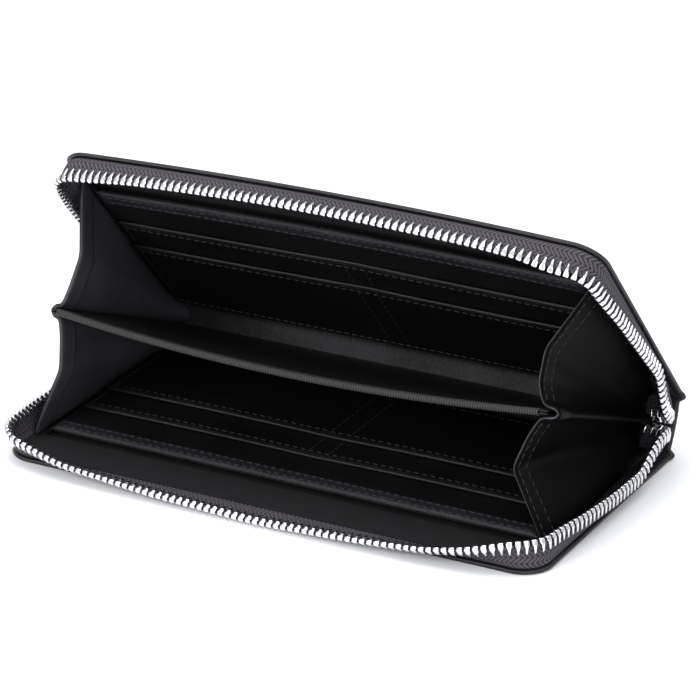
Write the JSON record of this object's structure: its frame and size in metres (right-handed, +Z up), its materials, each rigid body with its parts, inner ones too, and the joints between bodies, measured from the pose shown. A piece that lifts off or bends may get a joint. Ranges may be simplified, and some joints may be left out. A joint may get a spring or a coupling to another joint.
{
  "type": "long wallet",
  "caption": "Long zip-around wallet standing half open, with a spine that folds along both edges, a middle divider, pleated end gussets and rows of card slots in each cover.",
  "frame": {"origin": "middle of the lower cover's outer face, on the surface it lies on", "axes": "+X along the wallet's length, +Y towards the spine, +Z up; the mouth faces -Y"},
  "size_m": [0.2048, 0.1158, 0.0955],
  "materials": {
    "grained_leather": "fine cross grain, satin",
    "smooth_leather": "smooth, satin",
    "gusset_leather": "soft, slight sheen",
    "lining_fabric": "plain black weave",
    "board": "fibre board, hidden",
    "zip_tape": "herringbone weave",
    "zip_metal": "bright, polished",
    "slider_metal": "polished"
  },
  "bodies": {
    "lower_cover": {"lower_outer_leather": "grained_leather", "lower_cover_board": "board", "lower_lining": "lining_fabric", "lower_zip_tape": "zip_tape", "lower_zip_teeth": "zip_metal", "lower_top_stop": "zip_metal", "lower_card_panel": "smooth_leather", "lower_first_slot_row": "smooth_leather", "lower_second_slot_row": "smooth_leather"},
    "spine": {"spine_leather": "grained_leather", "spine_lining": "smooth_leather", "divider_lower_leaf": "smooth_leather", "divider_core": "board", "divider_upper_leaf": "smooth_leather", "divider_edge_binding": "grained_leather", "bottom_stop": "zip_metal", "left_gusset": "gusset_leather", "right_gusset": "gusset_leather", "left_zip_tail": "zip_tape", "right_zip_tail": "zip_tape"},
    "upper_cover": {"upper_outer_leather": "grained_leather", "upper_cover_board": "board", "upper_lining": "lining_fabric", "upper_zip_tape": "zip_tape", "upper_zip_teeth": "zip_metal", "upper_top_stop": "zip_metal", "upper_card_panel": "smooth_leather", "upper_first_slot_row": "smooth_leather", "upper_second_slot_row": "smooth_leather"},
    "slider": {"slider_body": "slider_metal"},
    "pull": {"pull_tab": "slider_metal"}
  },
  "joints": [
    {"name": "spine_fold", "type": "hinge", "parent": "lower_cover", "child": "spine", "pos_m": [0, 0.05, 0.0015], "axis": [-1, 0, 0], "range_deg": [-24.2, 4], "deforming": ["left_gusset", "right_gusset", "left_zip_tail", "right_zip_tail"]},
    {"name": "cover_fold", "type": "hinge", "parent": "spine", "child": "upper_cover", "pos_m": [0, 0.0582, 0.01974], "axis": [-1, 0, 0], "range_deg": [-24.2, 4]},
    {"name": "slider_run", "type": "slide", "parent": "spine", "child": "slider", "axis": [0, -0.9121, 0.4099], "range_m": [0, 0.0085]},
    {"name": "pull_swing", "type": "hinge", "parent": "slider", "child": "pull", "pos_m": [-0.10265, 0.04703, 0.0138], "axis": [0, 0.4099, 0.9121], "range_deg": [0, 170]}
  ],
  "couplings": [
    {"joint": "cover_fold", "follows": "spine_fold", "ratio": 1}
  ]
}
